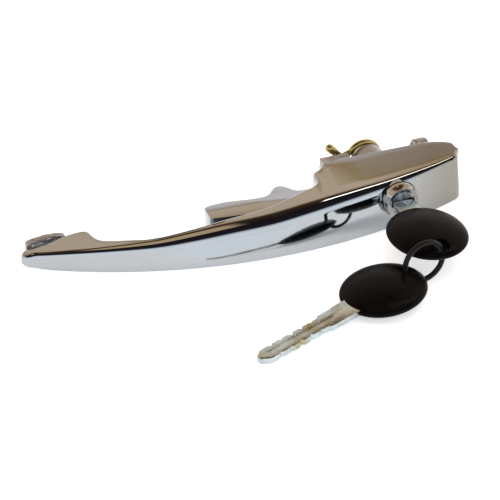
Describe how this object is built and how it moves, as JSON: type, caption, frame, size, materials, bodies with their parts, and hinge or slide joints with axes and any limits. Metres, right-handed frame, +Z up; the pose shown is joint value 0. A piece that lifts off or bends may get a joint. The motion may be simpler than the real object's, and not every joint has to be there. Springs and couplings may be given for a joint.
{
  "type": "car door handle",
  "caption": "Chrome pull-type car door handle with a finger trigger, release plunger, key lock and two keys on a ring.",
  "frame": {"origin": "where the lock axis crosses the door seat plane of the pod", "axes": "+X along the grip towards the lock end, +Y into the door along the lock axis, +Z up; the flat underside is level"},
  "size_m": [0.1695, 0.1016, 0.0194],
  "materials": {
    "chrome_casting": "polished chrome, raw casting behind the seat",
    "steel_pin": "stamped",
    "spring_steel": "stamped",
    "chrome_bezel": "polished",
    "black_rubber": "matte",
    "yellow_zinc": "yellow zinc plating",
    "chrome_trigger": "polished",
    "nickel_brass": "nickel-washed brass",
    "wafer_brass": "stamped",
    "key_nickel": "nickel-plated, milled",
    "key_plastic": "soft satin",
    "ring_plastic": "satin"
  },
  "bodies": {
    "handle": {"handle_casting": "chrome_casting", "trigger_pivot_pin": "steel_pin", "trigger_spring": "spring_steel", "lock_bezel": "chrome_bezel", "lock_gasket": "black_rubber", "centring_spring": "yellow_zinc", "spring_dowel": "steel_pin"},
    "trigger": {"trigger_lever": "chrome_trigger", "arm_pad": "black_rubber"},
    "plunger": {"release_plunger": "steel_pin", "plunger_clip": "spring_steel"},
    "plug": {"lock_plug": "nickel_brass", "plug_face_cap": "chrome_bezel", "dust_shutter": "spring_steel", "wafer_1": "wafer_brass", "wafer_2": "wafer_brass", "wafer_3": "wafer_brass", "wafer_4": "wafer_brass", "wafer_5": "wafer_brass", "lock_cam": "steel_pin", "cam_clip": "spring_steel"},
    "key": {"key_blade": "key_nickel", "key_head": "key_plastic"},
    "ring": {"key_ring": "ring_plastic"},
    "spare_key": {"spare_key_blade": "key_nickel", "spare_key_head": "key_plastic"}
  },
  "joints": [
    {"name": "trigger_pull", "type": "hinge", "parent": "handle", "child": "trigger", "pos_m": [-0.024, -0.009, 0], "axis": [0, 0, 1], "range_deg": [0, 7], "stiffness_Nm_per_rad": 0.4, "springref_deg": -20.05, "deforming": ["trigger_spring"]},
    {"name": "release_plunger_push", "type": "slide", "parent": "handle", "child": "plunger", "axis": [0, 1, 0], "range_m": [0, 0.00395]},
    {"name": "lock_turn", "type": "hinge", "parent": "handle", "child": "plug", "pos_m": [0, 0, 0], "axis": [0, 1, 0], "range_deg": [0, 75], "stiffness_Nm_per_rad": 0.05, "springref_deg": -34.38, "deforming": ["centring_spring"]},
    {"name": "key_pull", "type": "slide", "parent": "plug", "child": "key", "axis": [0, -1, 0], "range_m": [0, 0.036]},
    {"name": "ring_swing", "type": "hinge", "parent": "key", "child": "ring", "pos_m": [-0.00693, -0.06237, -0.0023], "axis": [0.1392, -0.9903, 0], "range_deg": [0, 20]},
    {"name": "spare_key_swing", "type": "hinge", "parent": "ring", "child": "spare_key", "pos_m": [-0.01327, -0.06327, -0.00643], "axis": [0, 0, 1], "range_deg": [-15, 15]}
  ],
  "couplings": [
    {"joint": "release_plunger_push", "follows": "trigger_pull", "m_per_rad": 0.032}
  ]
}
